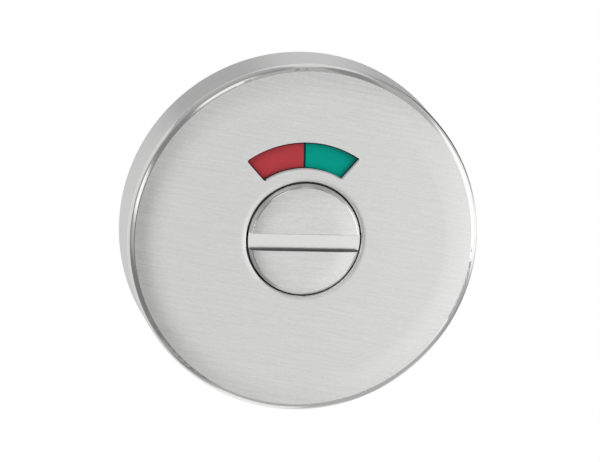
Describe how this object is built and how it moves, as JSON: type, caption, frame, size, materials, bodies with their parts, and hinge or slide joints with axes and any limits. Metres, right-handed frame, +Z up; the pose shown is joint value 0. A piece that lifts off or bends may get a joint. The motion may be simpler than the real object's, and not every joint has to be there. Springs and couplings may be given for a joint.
{
  "type": "indicator escutcheon",
  "caption": "Round stainless indicator rose for a bathroom door: arc window over red and green halves, coin-slot release turn, square spindle, threaded lugs and wood screws behind.",
  "frame": {"origin": "middle of the rose, on the face of the door that it is fixed to", "axes": "+Y into the door along the spindle, -Y out towards the person, +Z up"},
  "size_m": [0.052, 0.0562, 0.052],
  "materials": {
    "satin_steel": "satin brushed, with a polished edge",
    "turned_steel": "satin brushed head, turned shank",
    "red_inlay": "satin red",
    "green_inlay": "satin green",
    "black_acetal": "moulded, black",
    "glass_filled_nylon": "moulded, dark, fine grain",
    "white_acetal": "moulded, natural",
    "spring_steel": "oiled spring steel",
    "zinc_plate": "bright zinc plate",
    "screw_zinc": "yellow zinc plate",
    "spindle_steel": "cold drawn, zinc plated"
  },
  "bodies": {
    "rose": {"cover_cap": "satin_steel", "base_plate": "glass_filled_nylon", "cap_snap_ring": "spring_steel", "threaded_lug_top": "zinc_plate", "threaded_lug_bottom": "zinc_plate", "fixing_screw_left": "screw_zinc", "fixing_screw_right": "screw_zinc"},
    "turn": {"release_turn": "turned_steel", "indicator_carrier": "black_acetal", "occupied_segment": "red_inlay", "vacant_segment": "green_inlay", "thrust_washer": "white_acetal", "spring_washer": "spring_steel", "circlip": "spring_steel", "spindle": "spindle_steel", "spring_pin": "spring_steel"}
  },
  "joints": [
    {"name": "coin_turn", "type": "hinge", "parent": "rose", "child": "turn", "pos_m": [0, 0, 0], "axis": [0, -1, 0], "range_deg": [-45, 45]}
  ]
}
